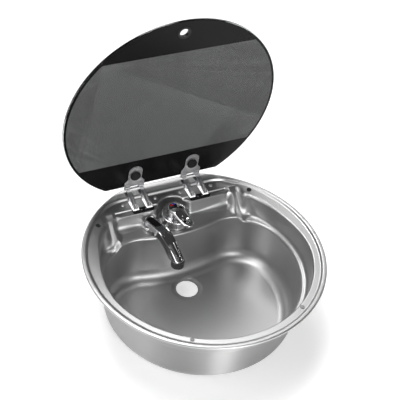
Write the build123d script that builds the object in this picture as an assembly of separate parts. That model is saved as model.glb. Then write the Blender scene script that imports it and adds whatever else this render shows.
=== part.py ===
from build123d import *

import os
from math import atan2, cos, hypot, radians, sin, sqrt

# Round drop-in sink with a hinged glass lid and a low mixer tap. All lengths are in mm.
# Origin: centre of the rim circle on the rim's top plane. +X right, +Y to the hinges, +Z up.

# ---- pressed sheet ----
SHEET = 1.0                 # wall of the pressed stainless sheet
RIM_R = 210.0               # round part of the rim
REAR_CUT = 12.0             # how far the straight rear edge lies inside the rim circle
RIM_REAR_Y = RIM_R - REAR_CUT
LIP_DEPTH = 3.0             # turned-down lip all round
BEAD_WIDTH = 10.0           # raised bead between the rim's edge and the land
LAND_Z = -3.0               # land that the lid's buffers stand on
DECK_Z = -5.0               # hinge deck
DECK_REAR_Y = RIM_REAR_Y - 28.0
DECK_FRONT_Y = DECK_REAR_Y - 24.0
SHELF_Z = -8.0              # shelf pockets in front of the hinge deck
SHELF_FRONT_Y = DECK_FRONT_Y - 12.0
SHELF_END_X = 118.0
SHELF_INNER_X = 19.0
TAP_DECK_Z = -35.0
TAP_DECK_HALF = 117.0       # half width of the tap deck recess
TAP_DECK_CORNER_R = 22.0
TAP_DECK_FOOT_R = 4.0
TAP_X = 0.0
TAP_Y = SHELF_FRONT_Y - 12.3
NOTCH_X = TAP_X - 1.5       # round notch behind the tap
NOTCH_Y = TAP_Y + 6.3
NOTCH_R = 29.0

# ---- side pockets and ledge round the bowl ----
MOUTH_R = RIM_R - 23.0      # wall at the land
LEDGE_OUTER_R = MOUTH_R - 3.5   # wall at the ledge
LEDGE_Z = -45.0
LEDGE_FOOT_R = 5.0
RAMP_TOP_Y = DECK_FRONT_Y - 6.0     # sloping rear end of a side pocket, at the hinge deck's level
RAMP_RUN = 0.92             # run of that ramp per unit of drop
RAMP_CORNER_R = 12.0
RIB_WIDTH = 5.0             # thin rib between the tap deck and a side pocket
RIB_RUN = 31.0 / 32.0       # run of the rib's top line per unit of drop
RIB_CUT_MARGIN = 3.0

# ---- bowl ----
BOWL_R = LEDGE_OUTER_R - 11.5   # round wall at the ledge
BOWL_CORNER_R = 80.0        # rear corners in plan
BOWL_MIDDLE_Y = SHELF_FRONT_Y - 46.0    # rear edge in the middle, where the tap deck bulges in
BOWL_PEAK_Y = BOWL_MIDDLE_Y + 11.0      # rear edge at the two corners
BOWL_DRAFT = 2.0            # degrees
BOWL_BOTTOM_Z = -135.0      # underside of the bowl
BOWL_FLOOR_R = 24.0         # radius between wall and floor
DRAIN_X = -2.0
DRAIN_Y = BOWL_MIDDLE_Y - 45.0
DRAIN_R = 20.0
DRAIN_SEAT_R = 25.5         # outer radius of the shallow groove round the drain hole
DRAIN_SEAT_WIDTH = 4.0
DRAIN_SEAT_DEPTH = 0.5

# ---- lid and its hinges; the lid is drawn closed and turned open about the hinge axis ----
HINGE_X = 55.5              # centre of the right hinge
HINGE_Y = RIM_REAR_Y - 18.3     # hinge axis, parallel to X
HINGE_Z = -10.4
LID_OPEN_ANGLE = 84.5
LID_R = RIM_R - 15.2
LID_REAR_Y = HINGE_Y - 18.7     # straight rear edge of the glass, lid closed
LID_CORNER_R = 5.0
GLASS_Z = 2.0               # underside of the closed glass
GLASS_THICK = 4.5
GLASS_EDGE = 0.8
PRINT_THICK = 0.15
PRINT_BORDER = 5.0
PRINT_REAR_Y = LID_REAR_Y - 63.0    # closed, front edge of the rear band
PRINT_FRONT_Y = 61.8 - LID_R    # closed, rear edge of the front band
FINGER_Y = 22.8 - LID_R
FINGER_R = 9.0              # hole in the glass
GROMMET_WALL = 1.0
GROMMET_FLANGE_R = 11.5
GROMMET_FLANGE = 0.8
LID_SCREW_Y = LID_REAR_Y - 27.5     # closed, screws and caps
LID_SCREW_R = 2.5
LID_SCREW_HEAD_R = 9.0
LID_SCREW_HEAD = 2.5
LID_HOLE_R = 4.0
LID_GASKET = 0.7
CAP_R = 9.5
CAP_HEIGHT = 4.0
CAP_RIBS = 14
CAP_RIB_R = 0.9
BRACKET_THICK = 1.6
TAB_WIDTH = 26.0
TAB_TOP_Y = LID_SCREW_Y - 21.8  # closed, rounded front end of the tab
PLATE_WIDTH = 38.0
PLATE_FRONT_Y = LID_REAR_Y - 14.0
PLATE_REAR_Y = LID_REAR_Y + 5.7
PLATE_TAPER = 5.0
PLATE_SLOT_Y = PLATE_REAR_Y - 4.7
PLATE_SLOT_LENGTH = 15.0
PLATE_SLOT_WIDTH = 4.5
ARM_OFFSET = 13.0           # from the hinge centre to each arm
ARM_WIDTH = 8.0
ARM_THICK = 2.4
ARM_GROOVE_WIDTH = 2.2
ARM_GROOVE_DEPTH = 1.0
# centre line of an arm with the lid open, (y from the hinge axis, z), from the plate to the foot
ARM_LINE = ((7.6, 14.0), (7.6, 6.2), (-2.7, 6.8), (-11.7, 4.4), (-29.7, -1.6), (-36.2, -4.2))
ARM_BEND_R = (3.0, 8.0, 15.0, 8.0)
LUG_WIDTH = 4.0
LUG_TOP_FRONT = -9.7        # y from the hinge axis
LUG_TOP_REAR = 2.8
HUB_R = 6.0
PIN_R = 3.0
RUNNING_GAP = 0.05          # radial clearance of every turning fit
SIDE_GAP = 0.1              # side clearance of the hinge lugs
ARM_SLOT_HALF = 6.5         # half width of the slots that the arms pass through
ARM_SLOT_FRONT_Y = HINGE_Y - 39.2
ARM_SLOT_REAR_Y = HINGE_Y + 7.3
FOOT_RIVET_R = 1.0

# ---- what holds the hinges ----
CARRIER_THICK = 2.0
CARRIER_FLANGE_END = 37.5   # from the hinge centre to the flange's end
CARRIER_FRONT_Y = DECK_REAR_Y - 16.5
CARRIER_REAR_Y = HINGE_Y + 8.8
CARRIER_BOTTOM_Z = -17.0
CHEEK_GAP = 0.5             # between an arm slot and the cheek
PIN_HEAD_R = 4.5
PIN_HEAD = 1.5
WASHER_R = 6.5
RIVET_OFFSET = 31.0         # from the hinge centre
RIVET_Y = DECK_REAR_Y - 10.0
RIVET_R = 2.0
RIVET_HEAD_R = 3.4
RIVET_HEAD = 1.8
BASE_WIDTH = 40.0
BASE_FRONT_Y = SHELF_FRONT_Y + 1.5
BASE_THICK = 3.0
BASE_SCREW_OFFSET = 4.0
BASE_SCREW_Y = SHELF_FRONT_Y + 5.5
BASE_SCREW_R = 1.4
BASE_SCREW_LENGTH = 8.0

# ---- buffers and rim seal ----
BUFFER_R = 4.5
BUFFER_RING_R = MOUTH_R + 6.0
BUFFER_ANGLES = (40.0, 140.0, 239.0, 301.0)
BUFFER_GAP = 0.15           # under the closed glass
SEAL_INSET = 1.5            # from the rim's edge
SEAL_WIDTH = 4.0
SEAL_PROUD = 0.5            # below the lip

# ---- mixer tap ----
TAP_TILT = 8.0              # forward tilt of the lever's axis
TAP_BASE_R = 26.5
TAP_RING_R = 25.5
TAP_RING_Z = -14.5          # middle of the body's sloping top
TAP_RING_EDGE = 1.2
TAP_GASKET = 1.0
TAP_BALL_Z = -20.0          # centre of the ball that the lever turns and tips on
DOME_R = 16.0
DOME_HOLE_R = 8.8
DOME_SEAT_R = 17.0
DOME_SEAT_DEPTH = 6.0
CARTRIDGE_R = 12.0
CARTRIDGE_BOTTOM = -12.0    # from the ball's centre, along the axis
CARTRIDGE_TOP = -7.0
CARRIER_DISC_R = 10.0       # turning carrier between the cartridge and the stem
CARRIER_DISC = 2.7
EAR_GAP = 0.3               # between the stem and each ear
EAR_THICK = 2.0
EAR_WIDTH = 5.0
EAR_TOP = 2.5
PIVOT_R = 1.5
SHANK_R = 16.0
SHANK_GAP = 1.0             # between the shank and the hole in the tap deck
SHANK_BOTTOM_Z = -62.0
NUT_R = 23.0
NUT_HEIGHT = 8.0
TAP_WASHER_R = 25.0
TAP_WASHER = 2.0
INLET_R = 5.0
INLET_SPREAD = 7.5
INLET_BOTTOM_Z = -100.0

# ---- lever ----
LEVER_YAW = 17.0            # degrees to the right of straight forward
CAP_GAP = 0.5               # between the dome and the lever's cap
CAP_WALL = 2.3
CAP_EDGE = 10.0             # lower edge of the cap above the ball's centre, along the axis
HANDLE_REAR = -15.0
HANDLE_TIP = 45.0
HANDLE_WIDTH = 24.0
HANDLE_THICK = 5.2
HANDLE_TOP = 17.6           # top of the handle at its rear end, above the ball's centre
HANDLE_FALL = 0.16          # drop of the handle per unit of length
HANDLE_REAR_R = 9.0
DISH_AT = 29.0
DISH_BALL_R = 20.0
DISH_DEPTH = 1.6
STEM_R = 4.0
STEM_BOTTOM = -3.0
MARKER_AT = -10.5
MARKER_R = 2.8
MARKER_THICK = 1.2
MARKER_PROUD = 0.2
LEVER_SCREW_R = 2.0

# ---- spout ----
SPOUT_X = TAP_X - 49.0
SPOUT_Y = TAP_Y - 0.2
SPOUT_YAW = 18.4            # degrees to the right of straight forward
SPOUT_TOP_Z = -15.0
SPOUT_SEAT_Z = -28.0        # top of the fixed neck under the spout
SPOUT_SEAT_GAP = 0.2
SPOUT_LOW_Z = -33.0
SPOUT_REAR_R = 10.0
SPOUT_CREST = 47.0          # from the post to the bend, along the spout
SPOUT_SLOPE = 44.5          # degrees down after the bend
SPOUT_CREST_R = 16.0
SPOUT_LENGTH = 88.5
SPOUT_TIP_WIDTH = 25.0
SPOUT_TIP_Z = -56.0
SPOUT_TIP_BACK = 65.5
SPOUT_NECK_CLEAR = 24.0     # along the spout, where its underside drops past the neck
SPOUT_EDGE_R = 2.0
POST_R = 6.0
POST_FOOT_R = 8.0
POST_TOP_Z = -18.0
BUSH_WALL = 1.5
AERATOR_AT = 77.5
AERATOR_R = 12.0
AERATOR_BOTTOM_Z = -70.0
AERATOR_EDGE = 1.5
AERATOR_SPIGOT_R = 9.0
AERATOR_SPIGOT = 4.0
NECK_WIDTH = 14.0

ABOVE = 2.0                 # how far cutting tools stand above the rim


# ---- small helpers ----
def rod(radius, start, end):
    """A round bar between two points."""
    line = Line(start, end)
    return extrude(Plane(origin=start, z_dir=line % 0) * Circle(radius), amount=line.length)


def block(low, high):
    """A box between its lowest and highest corners."""
    size = [h - l for l, h in zip(low, high)]
    middle = [(h + l) / 2 for l, h in zip(low, high)]
    return Pos(*middle) * Box(*size)


def prism(face, z_low, z_high):
    """A plan face drawn at z = 0, as a prism between two heights."""
    return Pos(0, 0, z_low) * extrude(face, amount=z_high - z_low)


def side_prism(points, x_low, x_high):
    """A (y, z) outline as a prism along X."""
    face = make_face(Polyline(*points, close=True))
    return Pos(x_low, 0, 0) * extrude(Plane.YZ * face, amount=x_high - x_low)


def clipped_disc(radius, y_max):
    """A disc whose rear is cut straight at y_max."""
    return Circle(radius) - Pos(0, y_max + radius) * Rectangle(4 * radius, 2 * radius)


def both_sides(shape):
    """A shape and its mirror image across x = 0."""
    return shape + mirror(shape, about=Plane.YZ)


# ---- the sink: each hollow is drawn with a growth, 0 for its inside and SHEET for its outside ----
def land_hollow(grow, top):
    return prism(clipped_disc(RIM_R - BEAD_WIDTH + grow, DECK_REAR_Y + grow), LAND_Z - grow, top)


def deck_hollow(grow, top):
    face = clipped_disc(RIM_R - BEAD_WIDTH + grow, DECK_REAR_Y + grow)
    face -= Pos(0, DECK_FRONT_Y - grow - RIM_R) * Rectangle(4 * RIM_R, 2 * RIM_R)
    return prism(face, DECK_Z - grow, top)


def shelf_hollows(grow, top):
    width = DECK_FRONT_Y - SHELF_FRONT_Y + 2 * grow
    length = SHELF_END_X - SHELF_INNER_X + 2 * grow
    middle = ((SHELF_END_X + SHELF_INNER_X) / 2, (DECK_FRONT_Y + SHELF_FRONT_Y) / 2)
    return both_sides(prism(Pos(*middle) * SlotOverall(length, width), SHELF_Z - grow, top))


def tap_deck_hollow(grow, top):
    depth = SHELF_FRONT_Y + grow
    face = Pos(0, depth / 2) * Rectangle(2 * (TAP_DECK_HALF + grow), depth)
    face = fillet(face.vertices().group_by(Axis.Y)[-1], TAP_DECK_CORNER_R + grow)
    hollow = prism(face, TAP_DECK_Z - grow, top)
    foot = [e for e in hollow.edges().group_by(Axis.Z)[0] if e.center().Y > 1]
    return fillet(foot, TAP_DECK_FOOT_R + grow)


def notch_hollow(grow, top):
    return prism(Pos(NOTCH_X, NOTCH_Y) * Circle(NOTCH_R + grow), TAP_DECK_Z - grow, top)


def side_hollow(grow, top):
    """The mouth of the bowl down to the ledge, with a sloping rear end on each side."""
    slope = (MOUTH_R - LEDGE_OUTER_R) / (LAND_Z - LEDGE_Z)
    floor = LEDGE_Z - grow
    low_r = LEDGE_OUTER_R + grow - slope * grow
    high_r = MOUTH_R + grow + slope * (top - LAND_Z)
    mouth = Pos(0, 0, (top + floor) / 2) * Cone(low_r, high_r, top - floor)

    def ramp_y(z):
        return RAMP_TOP_Y + (z - DECK_Z) * RAMP_RUN + grow * hypot(1, RAMP_RUN)

    behind = ((ramp_y(floor), floor), (RIM_R, floor), (RIM_R, top), (ramp_y(top), top))
    mouth -= side_prism(behind, -RIM_R, RIM_R)
    corners = [e for e in mouth.edges() if e.center().Y > BOWL_PEAK_Y and e.bounding_box().size.Z > 20]
    mouth = fillet(corners, RAMP_CORNER_R + grow)
    mouth = fillet(mouth.edges().group_by(Axis.Z)[0], LEDGE_FOOT_R + grow)
    half = TAP_DECK_HALF + RIB_WIDTH - grow
    return mouth - block((-half, BOWL_MIDDLE_Y / 2, floor - 1), (half, RIM_R, top + 1))


def rib_cuts(grow, top):
    """What lies above the sloping top line of the two ribs."""
    drop = grow * hypot(1, 1 / RIB_RUN)

    def line_z(y):
        return SHELF_Z + (y - SHELF_FRONT_Y) / RIB_RUN - drop

    start_y = SHELF_FRONT_Y + (LAND_Z - SHELF_Z + drop) * RIB_RUN
    end_y = SHELF_FRONT_Y + (LEDGE_Z - grow - SHELF_Z + drop) * RIB_RUN
    outline = ((start_y, top), (start_y, line_z(start_y)), (end_y, line_z(end_y)),
               (BOWL_MIDDLE_Y / 2, line_z(end_y)), (BOWL_MIDDLE_Y / 2, top))
    return both_sides(side_prism(outline, TAP_DECK_HALF - RIB_CUT_MARGIN,
                                 TAP_DECK_HALF + RIB_WIDTH + RIB_CUT_MARGIN))


def bowl_face(grow):
    """Plan of the bowl: a round front, two rear corners and a shallow inward bulge, all tangent."""
    corner_y = BOWL_PEAK_Y - BOWL_CORNER_R
    corner_x = sqrt((BOWL_R - BOWL_CORNER_R) ** 2 - corner_y ** 2)
    rise = BOWL_MIDDLE_Y - corner_y
    bulge_r = (corner_x ** 2 + rise ** 2 - BOWL_CORNER_R ** 2) / (2 * (BOWL_CORNER_R - rise))
    bulge_y = BOWL_MIDDLE_Y + bulge_r
    front_angle = atan2(corner_y, corner_x)
    rear_angle = atan2(bulge_y - corner_y, -corner_x)
    corner_r = BOWL_CORNER_R + grow

    def corner_point(angle):
        return (corner_x + corner_r * cos(angle), corner_y + corner_r * sin(angle))

    front = corner_point(front_angle)
    middle = corner_point((front_angle + rear_angle) / 2)
    rear = corner_point(rear_angle)
    mirrored = [(-x, y) for x, y in (front, middle, rear)]
    arcs = (ThreePointArc(front, (0, -BOWL_R - grow), mirrored[0]),
            ThreePointArc(*mirrored),
            ThreePointArc(mirrored[2], (0, BOWL_MIDDLE_Y + grow), rear),
            ThreePointArc(rear, middle, front))
    return make_face(arcs)


def bowl_top_face(grow):
    """Plan of the drafted bowl at the tap deck, above the ledge where BOWL_R is given."""
    return bowl_face(grow + (TAP_DECK_Z - LEDGE_Z) * sin(radians(BOWL_DRAFT)))


def bowl_hollow(grow):
    """The deep bowl from the tap deck down, drafted, with its rounded floor."""
    depth = TAP_DECK_Z - BOWL_BOTTOM_Z - SHEET + grow
    solid = extrude(Pos(0, 0, TAP_DECK_Z) * bowl_top_face(grow), amount=depth, dir=(0, 0, -1),
                    taper=BOWL_DRAFT)
    return fillet(solid.edges().group_by(Axis.Z)[0], BOWL_FLOOR_R + grow)


def all_hollows(grow, top):
    solid = bowl_hollow(grow) + side_hollow(grow, top) + tap_deck_hollow(grow, top)
    solid += rib_cuts(grow, top)
    solid += notch_hollow(grow, top)
    solid += land_hollow(grow, top)
    solid += deck_hollow(grow, top)
    return solid + shelf_hollows(grow, top)


def arm_slots(z_low, z_high):
    """The openings that the hinge arms swing through."""
    cuts = Part()
    for centre in (-HINGE_X, HINGE_X):
        for side in (-1, 1):
            x = centre + side * ARM_OFFSET
            cuts += block((x - ARM_SLOT_HALF, ARM_SLOT_FRONT_Y, z_low),
                          (x + ARM_SLOT_HALF, ARM_SLOT_REAR_Y, z_high))
    return cuts


def rivet_places():
    return [(centre + side * RIVET_OFFSET, RIVET_Y)
            for centre in (-HINGE_X, HINGE_X) for side in (-1, 1)]


def base_screw_places(centre):
    return [(centre + side * BASE_SCREW_OFFSET, BASE_SCREW_Y) for side in (-1, 1)]


def sink_bowl():
    """The whole sink, pressed from one sheet."""
    outline = clipped_disc(RIM_R, RIM_REAR_Y)
    plate = prism(outline, -SHEET, 0)
    lip = prism(outline - clipped_disc(RIM_R - SHEET, RIM_REAR_Y - SHEET), -LIP_DEPTH, 0)
    shell = plate + lip + all_hollows(SHEET, 0)
    shell -= all_hollows(0, ABOVE)
    shell -= prism(bowl_top_face(0), TAP_DECK_Z, ABOVE)
    floor = BOWL_BOTTOM_Z + SHEET
    drain = Pos(DRAIN_X, DRAIN_Y)
    seat = drain * Circle(DRAIN_SEAT_R) - drain * Circle(DRAIN_SEAT_R - DRAIN_SEAT_WIDTH)
    shell -= prism(seat, floor - DRAIN_SEAT_DEPTH, floor + 1)
    shell -= prism(drain * Circle(DRAIN_R), BOWL_BOTTOM_Z - 1, floor + 1)
    tap_hole = Pos(TAP_X, TAP_Y) * Circle(SHANK_R + SHANK_GAP)
    shell -= prism(tap_hole, TAP_DECK_Z - 2 * SHEET, TAP_DECK_Z + SHEET)
    shell -= arm_slots(SHELF_Z - 2 * SHEET, ABOVE)
    for x, y in rivet_places():
        shell -= prism(Pos(x, y) * Circle(RIVET_R), DECK_Z - 2 * SHEET, ABOVE)
    for centre in (-HINGE_X, HINGE_X):
        for x, y in base_screw_places(centre):
            shell -= prism(Pos(x, y) * Circle(BASE_SCREW_R), SHELF_Z - 2 * SHEET, ABOVE)
    return shell


def rim_gasket():
    """Soft seal in the channel under the rim's bead."""
    inner = SEAL_INSET + SEAL_WIDTH
    face = clipped_disc(RIM_R - SEAL_INSET, RIM_REAR_Y - SEAL_INSET)
    face -= clipped_disc(RIM_R - inner, RIM_REAR_Y - inner)
    return prism(face, -LIP_DEPTH - SEAL_PROUD, -SHEET)


def lid_buffers():
    """Four rubber buffers on the land."""
    top = GLASS_Z - PRINT_THICK - BUFFER_GAP
    buffers = Part()
    for angle in BUFFER_ANGLES:
        place = Pos(BUFFER_RING_R * cos(radians(angle)), BUFFER_RING_R * sin(radians(angle)))
        buffer = prism(place * Circle(BUFFER_R), LAND_Z, top)
        buffers += fillet(buffer.edges().group_by(Axis.Z)[-1], 1.2)
    return buffers


# ---- hinge supports ----
def deck_rivets():
    """Domed rivets through the hinge deck and the carriers' flanges."""
    low = DECK_Z - SHEET - CARRIER_THICK
    rivets = Part()
    for x, y in rivet_places():
        head = prism(Pos(x, y) * Circle(RIVET_HEAD_R), DECK_Z, DECK_Z + RIVET_HEAD)
        head = fillet(head.edges().group_by(Axis.Z)[-1], RIVET_HEAD * 0.9)
        tail = prism(Pos(x, y) * Circle(RIVET_HEAD_R), low - RIVET_HEAD, low)
        rivets += head + tail + prism(Pos(x, y) * Circle(RIVET_R), low, DECK_Z)
    return rivets


def hinge_carrier(centre):
    """Steel carrier under the deck: two flanges, two cheeks and the link behind the arms."""
    flange_top = DECK_Z - SHEET
    cheek_in = ARM_OFFSET + ARM_SLOT_HALF + CHEEK_GAP
    cheek_out = cheek_in + CARRIER_THICK
    step_y = DECK_REAR_Y + 2 * SHEET
    cheek = ((CARRIER_FRONT_Y, flange_top), (step_y, flange_top), (step_y, -SHEET),
             (CARRIER_REAR_Y, -SHEET), (CARRIER_REAR_Y, CARRIER_BOTTOM_Z),
             (HINGE_Y - HUB_R - CARRIER_THICK, CARRIER_BOTTOM_Z),
             (CARRIER_FRONT_Y, flange_top - CARRIER_THICK))
    part = side_prism(cheek, cheek_in, cheek_out)
    part += block((cheek_in, CARRIER_FRONT_Y, flange_top - CARRIER_THICK),
                  (CARRIER_FLANGE_END, DECK_REAR_Y - SHEET, flange_top))
    part = both_sides(part)
    part += block((-cheek_out, CARRIER_REAR_Y - CARRIER_THICK, HINGE_Z),
                  (cheek_out, CARRIER_REAR_Y, -SHEET))
    part -= rod(PIN_R, (-RIM_R, HINGE_Y, HINGE_Z), (RIM_R, HINGE_Y, HINGE_Z))
    for side in (-1, 1):
        part -= prism(Pos(side * RIVET_OFFSET, RIVET_Y) * Circle(RIVET_R), CARRIER_BOTTOM_Z, ABOVE)
    return Pos(centre, 0, 0) * part


def hinge_pin(centre):
    """Headed pin across the two cheeks."""
    half = ARM_OFFSET + ARM_SLOT_HALF + CHEEK_GAP + CARRIER_THICK
    pin = rod(PIN_R, (-half - PIN_HEAD, HINGE_Y, HINGE_Z), (half + PIN_HEAD, HINGE_Y, HINGE_Z))
    for side in (-1, 1):
        pin += rod(PIN_HEAD_R, (side * half, HINGE_Y, HINGE_Z), (side * (half + PIN_HEAD), HINGE_Y, HINGE_Z))
    return Pos(centre, 0, 0) * pin


def friction_washers():
    """Outer washers and a middle sleeve on each pin, which pinch the arms' lugs."""
    inner = ARM_OFFSET - LUG_WIDTH / 2 - SIDE_GAP
    outer = ARM_OFFSET + LUG_WIDTH / 2 + SIDE_GAP
    cheek_in = ARM_OFFSET + ARM_SLOT_HALF + CHEEK_GAP
    washers = Part()
    for centre in (-HINGE_X, HINGE_X):
        for low, high in ((-inner, inner), (outer, cheek_in), (-cheek_in, -outer)):
            ends = ((centre + low, HINGE_Y, HINGE_Z), (centre + high, HINGE_Y, HINGE_Z))
            washers += rod(WASHER_R, *ends) - rod(PIN_R, *ends)
    return washers


def hinge_base(centre):
    """Black plastic bar in the shelf pocket, notched for the two arms."""
    bar = block((-BASE_WIDTH / 2, BASE_FRONT_Y, SHELF_Z),
                (BASE_WIDTH / 2, DECK_FRONT_Y, SHELF_Z + BASE_THICK))
    bar = fillet(bar.edges().filter_by(Axis.Z).group_by(Axis.Y)[0], 4)
    bar = Pos(centre, 0, 0) * bar - arm_slots(SHELF_Z - 1, ABOVE)
    for x, y in base_screw_places(centre):
        bar -= prism(Pos(x, y) * Circle(BASE_SCREW_R), SHELF_Z - 1, ABOVE)
    return bar


def hinge_base_screws():
    """Flush screws that hold the plastic bars in their pockets."""
    top = SHELF_Z + BASE_THICK
    screws = Part()
    for centre in (-HINGE_X, HINGE_X):
        for x, y in base_screw_places(centre):
            screws += prism(Pos(x, y) * Circle(BASE_SCREW_R), top - BASE_SCREW_LENGTH, top)
    return screws


# ---- lid, drawn closed ----
def opened(shape):
    """What is drawn with the lid closed, put where it is with the lid open."""
    about = Pos(0, HINGE_Y, HINGE_Z)
    return about * Rot(-LID_OPEN_ANGLE, 0, 0) * about.inverse() * shape


def lid_face(inset):
    face = clipped_disc(LID_R - inset, LID_REAR_Y - inset)
    return fillet(face.vertices(), LID_CORNER_R)


def glass_lid():
    """Toughened glass pane with its finger hole and two screw holes."""
    pane = prism(lid_face(0), GLASS_Z, GLASS_Z + GLASS_THICK)
    pane = chamfer(pane.edges().group_by(Axis.Z)[0] + pane.edges().group_by(Axis.Z)[-1], GLASS_EDGE)
    top = GLASS_Z + GLASS_THICK
    pane -= prism(Pos(0, FINGER_Y) * Circle(FINGER_R), GLASS_Z, top)
    for x in (-HINGE_X, HINGE_X):
        pane -= prism(Pos(x, LID_SCREW_Y) * Circle(LID_HOLE_R), GLASS_Z, top)
    return opened(pane)


def dot_zone():
    """Plan of the see-through zone between the two printed bands."""
    face = lid_face(PRINT_BORDER)
    height = PRINT_REAR_Y - PRINT_FRONT_Y
    return face & Pos(0, PRINT_FRONT_Y + height / 2) * Rectangle(3 * LID_R, height)


def lid_print():
    """Black print on the underside: rear band, border and front band."""
    face = lid_face(GLASS_EDGE) - dot_zone()
    face -= Pos(0, FINGER_Y) * Circle(GROMMET_FLANGE_R)
    for x in (-HINGE_X, HINGE_X):
        face -= Pos(x, LID_SCREW_Y) * Circle(LID_HOLE_R)
    return opened(prism(face, GLASS_Z - PRINT_THICK, GLASS_Z))


def lid_dot_print():
    """Fine dotted print on the underside of the see-through zone."""
    return opened(prism(dot_zone(), GLASS_Z - PRINT_THICK, GLASS_Z))


def finger_grommet():
    """Ring that lines the finger hole, with a flange on each face."""
    place = Pos(0, FINGER_Y)
    top = GLASS_Z + GLASS_THICK
    ring = prism(place * Circle(FINGER_R), GLASS_Z, top)
    for z in (GLASS_Z - GROMMET_FLANGE, top):
        ring += prism(place * Circle(GROMMET_FLANGE_R), z, z + GROMMET_FLANGE)
    return opened(ring - prism(place * Circle(FINGER_R - GROMMET_WALL), GLASS_Z - 1, top + 1))


def bracket_top_z():
    return GLASS_Z - PRINT_THICK - LID_GASKET


def arm(x):
    """Swan-neck arm with its groove, foot rivets and the lug down to the pin, lid open."""
    points = [(HINGE_Y + y, z) for y, z in ARM_LINE]
    line = FilletPolyline(*points, radius=ARM_BEND_R)
    strip = extrude(Plane.YZ * trace(line, ARM_THICK), amount=ARM_WIDTH)
    strip = Pos(x - ARM_WIDTH / 2, 0, 0) * strip
    groove_line = Polyline(*[(y, z + ARM_THICK / 2) for y, z in points[2:]])
    groove = extrude(Plane.YZ * trace(groove_line, 2 * ARM_GROOVE_DEPTH), amount=ARM_GROOVE_WIDTH)
    strip -= Pos(x - ARM_GROOVE_WIDTH / 2, 0, 0) * groove
    foot_y, foot_z = points[-2]
    for side in (-1, 1):
        at = (x + side * (ARM_WIDTH + ARM_GROOVE_WIDTH) / 4, foot_y)
        strip += prism(Pos(*at) * Circle(FOOT_RIVET_R), foot_z, foot_z + ARM_THICK / 2 + FOOT_RIVET_R)
    front = (HINGE_Y + LUG_TOP_FRONT, points[3][1])
    rear = (HINGE_Y + LUG_TOP_REAR, points[2][1] - ARM_THICK / 4)
    sides = (front, rear, (HINGE_Y + HUB_R, HINGE_Z), (HINGE_Y - HUB_R, HINGE_Z))
    lug = side_prism(sides, x - LUG_WIDTH / 2, x + LUG_WIDTH / 2)
    ends = ((x - LUG_WIDTH / 2, HINGE_Y, HINGE_Z), (x + LUG_WIDTH / 2, HINGE_Y, HINGE_Z))
    lug += rod(HUB_R, *ends)
    return strip + lug - rod(PIN_R + RUNNING_GAP, *ends)


def hinge_bracket(centre):
    """Tab and cross plate on the glass, with two arms that turn on the pin."""
    top = bracket_top_z()
    tab_r = TAB_WIDTH / 2
    tab_end = TAB_TOP_Y + tab_r
    half = PLATE_WIDTH / 2
    right = [(tab_r, tab_end), (tab_r, PLATE_FRONT_Y - PLATE_TAPER),
             (half, PLATE_FRONT_Y + PLATE_TAPER / 2), (half, PLATE_REAR_Y)]
    left = [(-x, y) for x, y in reversed(right)]
    face = make_face((Polyline(*right, *left), ThreePointArc(left[-1], (0, TAB_TOP_Y), right[0])))
    face -= Pos(0, PLATE_SLOT_Y) * SlotOverall(PLATE_SLOT_LENGTH, PLATE_SLOT_WIDTH)
    face -= Pos(0, LID_SCREW_Y) * Circle(LID_SCREW_R)
    plate = opened(Pos(centre, 0, 0) * prism(face, top - BRACKET_THICK, top))
    return plate + arm(centre - ARM_OFFSET) + arm(centre + ARM_OFFSET)


def lid_cap(centre):
    """Ribbed cap nut on the inner face."""
    top = bracket_top_z() - BRACKET_THICK
    cap = prism(Circle(CAP_R), top - CAP_HEIGHT, top)
    cap = fillet(cap.edges().group_by(Axis.Z)[0], 1.5)
    for place in PolarLocations(CAP_R, CAP_RIBS):
        cap -= prism(place * Circle(CAP_RIB_R), top - CAP_HEIGHT, top)
    cap -= prism(Circle(LID_SCREW_R), top - CAP_HEIGHT / 2, top)
    return opened(Pos(centre, LID_SCREW_Y, 0) * cap)


def lid_screws():
    """Large-headed screws from the outer face into the caps."""
    low = bracket_top_z() - BRACKET_THICK - CAP_HEIGHT / 2
    head_z = GLASS_Z + GLASS_THICK + LID_GASKET
    screws = Part()
    for x in (-HINGE_X, HINGE_X):
        screw = prism(Pos(x, LID_SCREW_Y) * Circle(LID_SCREW_HEAD_R), head_z, head_z + LID_SCREW_HEAD)
        screw = fillet(screw.edges().group_by(Axis.Z)[-1], 1.0)
        screws += screw + prism(Pos(x, LID_SCREW_Y) * Circle(LID_SCREW_R), low, head_z)
    return opened(screws)


def lid_gaskets():
    """Soft washers on both faces of the glass at the screws."""
    gaskets = Part()
    for x in (-HINGE_X, HINGE_X):
        for z in (GLASS_Z - PRINT_THICK - LID_GASKET, GLASS_Z + GLASS_THICK):
            ring = Circle(LID_SCREW_HEAD_R) - Circle(LID_SCREW_R)
            gaskets += prism(Pos(x, LID_SCREW_Y) * ring, z, z + LID_GASKET)
    return opened(gaskets)


# ---- tap ----
def tap_axis_plane():
    """Plane through the ball's centre whose Z is the tilted axis that the lever turns about."""
    tilt = radians(TAP_TILT)
    return Plane(origin=(TAP_X, TAP_Y, TAP_BALL_Z), x_dir=(1, 0, 0), z_dir=(0, -sin(tilt), cos(tilt)))


def along_axis(radius, low, high):
    """A round bar on the lever's axis, between two heights from the ball's centre."""
    return tap_axis_plane() * prism(Circle(radius), low, high)


def ring_height():
    """Height of the body's top above the ball's centre, along the axis."""
    return (TAP_RING_Z - TAP_BALL_Z) * cos(radians(TAP_TILT))


def tap_foot_z():
    return TAP_DECK_Z + TAP_GASKET


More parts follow.
